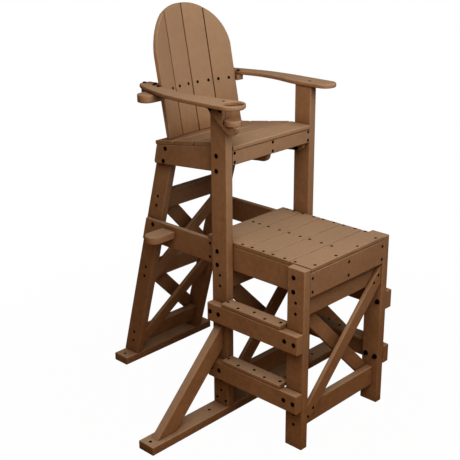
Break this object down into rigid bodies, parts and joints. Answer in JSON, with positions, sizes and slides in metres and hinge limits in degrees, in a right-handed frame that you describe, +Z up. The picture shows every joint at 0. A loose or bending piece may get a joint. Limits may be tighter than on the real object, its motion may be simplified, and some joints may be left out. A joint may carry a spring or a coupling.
{
  "type": "lifeguard chair",
  "caption": "Tall open-frame lifeguard chair with a raised seat, arms, a cup holder, a standing deck in front and ladder steps at the sides.",
  "frame": {"origin": "on the ground, under the middle of the chair's bounding box", "axes": "+Z up; the chair faces -Y; -X is the sitter's right, where the cup holder and the rescue tube blocks are"},
  "size_m": [1.6264, 1.3224, 1.9177],
  "materials": {
    "lumber": "matt brown recycled plastic lumber with a fine speckle and eased edges",
    "bolts": "black coated steel bolt and screw heads"
  },
  "bodies": {
    "root": {"front_runner": "lumber", "rear_runner": "lumber", "front_post_right": "lumber", "front_post_left": "lumber", "deck_post_right": "lumber", "deck_post_left": "lumber", "rear_leg_right": "lumber", "rear_leg_left": "lumber", "side_brace_right": "lumber", "side_brace_left": "lumber", "deck_rail_right": "lumber", "deck_rail_left": "lumber", "deck_rail_centre": "lumber", "deck_apron": "lumber", "deck_rear_board": "lumber", "deck_boards": "lumber", "deck_frame_boards": "lumber", "deck_frame_braces": "lumber", "post_frame_boards": "lumber", "post_frame_braces": "lumber", "rear_frame_boards": "lumber", "rear_frame_braces": "lumber", "step_risers_right": "lumber", "step_risers_left": "lumber", "step_treads_right": "lumber", "step_treads_left": "lumber", "seat_rail_right": "lumber", "seat_rail_left": "lumber", "seat_rail_centre": "lumber", "seat_apron": "lumber", "seat_slats": "lumber", "back_slats": "lumber", "back_crosspiece": "lumber", "arm_right": "lumber", "arm_left": "lumber", "cup_bracket": "lumber", "cup_shelf": "lumber", "tube_block_upper": "lumber", "tube_block_lower": "lumber"}
  },
  "joints": []
}
